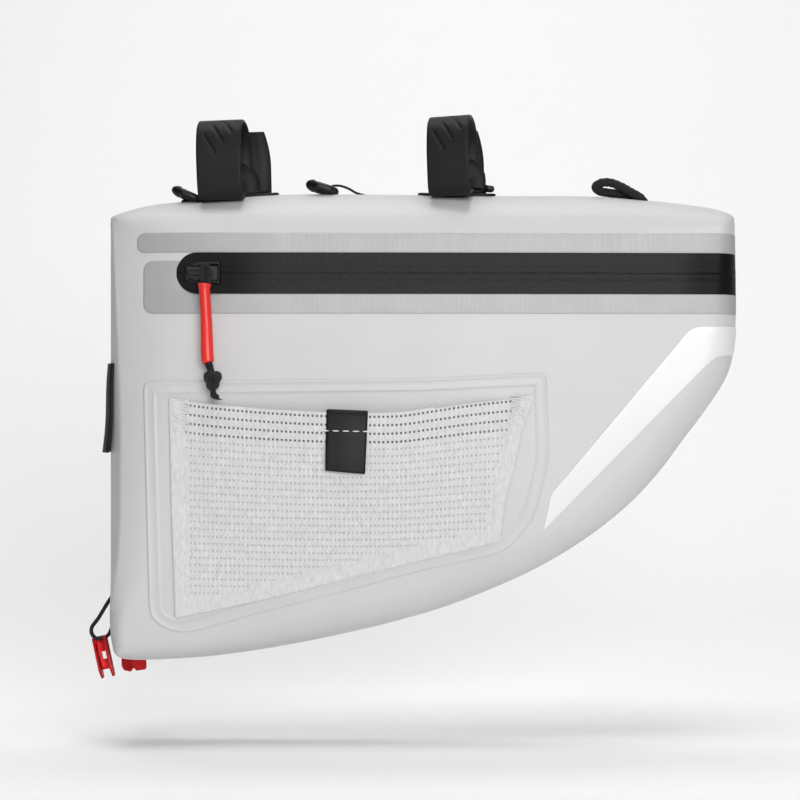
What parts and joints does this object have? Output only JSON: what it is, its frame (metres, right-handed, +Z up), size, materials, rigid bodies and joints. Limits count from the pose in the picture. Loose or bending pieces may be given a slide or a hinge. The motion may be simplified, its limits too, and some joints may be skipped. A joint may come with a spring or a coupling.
{
  "type": "bicycle frame bag",
  "caption": "Welded bag that hangs under a bicycle's top tube on strap loops, with a wrapped side zip, mesh pocket, reflective stripe and small hooks on elastic cords.",
  "frame": {"origin": "on the axis of the top tube that the bag hangs from, midway between its two strap loops", "axes": "+X towards the front of the bicycle, +Z up, and the panel with the zip and the mesh pocket faces -Y"},
  "size_m": [0.389, 0.0852, 0.339],
  "materials": {
    "welded_fabric": "satin",
    "facing_tape": "satin",
    "zip_tape": "satin",
    "black_plastic": "matte",
    "braided_cord": "matte",
    "red_sleeve": "satin",
    "reflective_film": "satin",
    "pocket_mesh": "matte",
    "strap_rubber": "satin",
    "red_anodised": "satin"
  },
  "bodies": {
    "root": {"body_shell": "welded_fabric", "pocket_frame": "welded_fabric", "facing_upper": "facing_tape", "facing_lower": "facing_tape", "zip_tape_upper": "zip_tape", "zip_tape_lower": "zip_tape", "zip_slider": "black_plastic", "pull_cord": "braided_cord", "pull_knot": "braided_cord", "pull_sleeve": "red_sleeve", "reflective_stripe": "reflective_film", "mesh_pocket": "pocket_mesh", "pocket_tab": "strap_rubber", "strap_base_rear": "strap_rubber", "strap_rear_near": "strap_rubber", "strap_rear_far": "strap_rubber", "strap_base_front": "strap_rubber", "strap_front_near": "strap_rubber", "strap_front_far": "strap_rubber", "toggle_rear": "black_plastic", "toggle_middle": "black_plastic", "toggle_front": "black_plastic", "loop_cord": "braided_cord", "top_cord": "braided_cord", "side_tab": "strap_rubber", "hook_rear": "red_anodised", "hook_far": "red_anodised", "hook_cord_rear": "braided_cord", "hook_cord_far": "braided_cord"}
  },
  "joints": []
}
